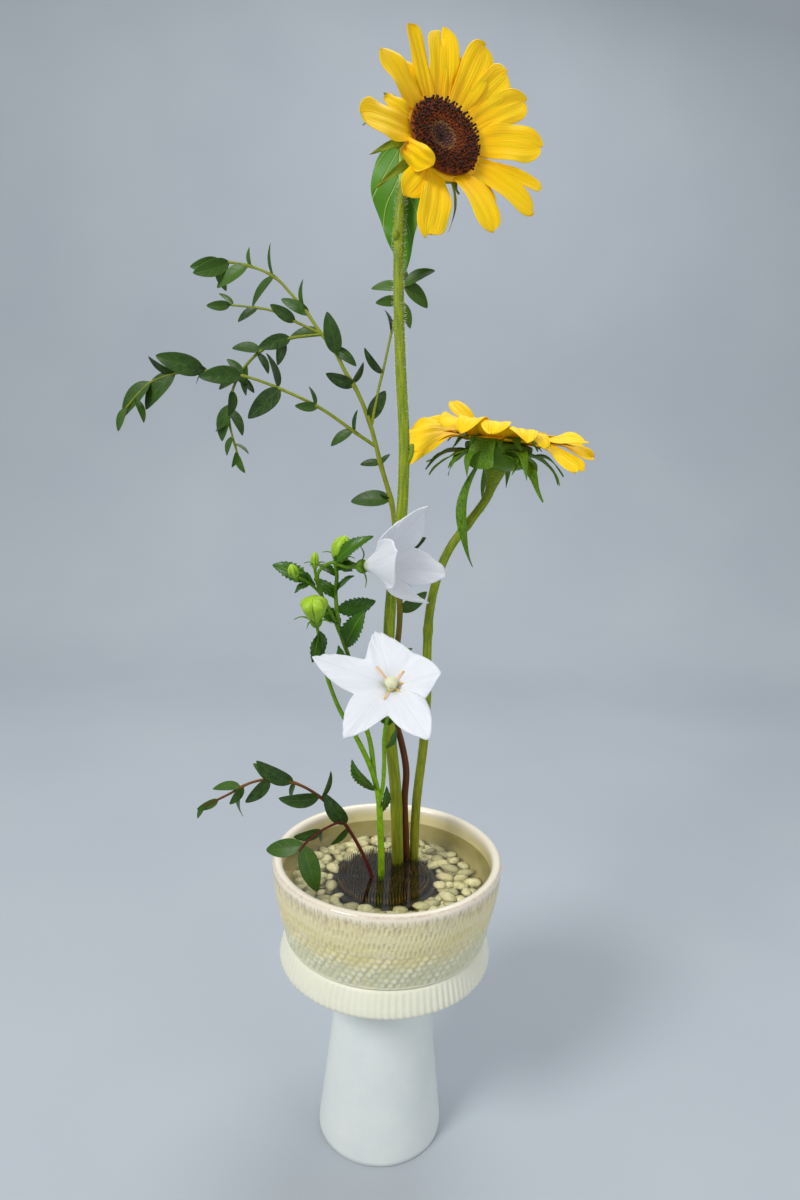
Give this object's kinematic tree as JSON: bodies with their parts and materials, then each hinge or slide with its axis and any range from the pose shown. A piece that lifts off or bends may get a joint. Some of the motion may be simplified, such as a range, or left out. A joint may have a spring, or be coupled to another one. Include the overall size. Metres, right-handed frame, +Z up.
{
  "type": "ikebana arrangement",
  "caption": "Ikebana arrangement in a tall footed bowl: sunflowers, white bellflowers and eucalyptus held upright in a pin holder under water over pebbles.",
  "frame": {"origin": "centre of the underside of the foot, on the surface the vessel stands on", "axes": "+Z up along the vessel's axis; +X to the viewer's right and +Y away from the viewer, who stands in front of the arrangement"},
  "size_m": [0.3765, 0.2049, 0.8287],
  "materials": {
    "bowl": "glossy cream glaze, pressed nicks",
    "pedestal": "white satin glaze, fluted collar",
    "pin_holder": "dark metal base with brass pins",
    "pebbles": "smooth wet cream pebbles",
    "water": "clear still water",
    "sunflower_stem": "hairy olive-green stem, leaf and bracts",
    "sunflower_petals": "satin yellow petals",
    "sunflower_disc": "dark brown florets",
    "eucalyptus": "matte blue-green leaves on brown twigs",
    "bellflower_green": "fresh green stems, leaves and buds",
    "bellflower_white": "soft white petals"
  },
  "bodies": {
    "root": {"bowl": "bowl", "pedestal": "pedestal", "pin_holder": "pin_holder", "pebbles": "pebbles", "water": "water", "sunflower_tall_stem": "sunflower_stem", "sunflower_tall_petals": "sunflower_petals", "sunflower_tall_disc": "sunflower_disc", "sunflower_low_stem": "sunflower_stem", "sunflower_low_petals": "sunflower_petals", "sunflower_low_disc": "sunflower_disc", "eucalyptus_branch": "eucalyptus", "eucalyptus_sprig": "eucalyptus", "bellflower_spray": "bellflower_green", "bellflower_bloom_lower": "bellflower_white", "bellflower_bloom_upper": "bellflower_white"}
  },
  "joints": []
}
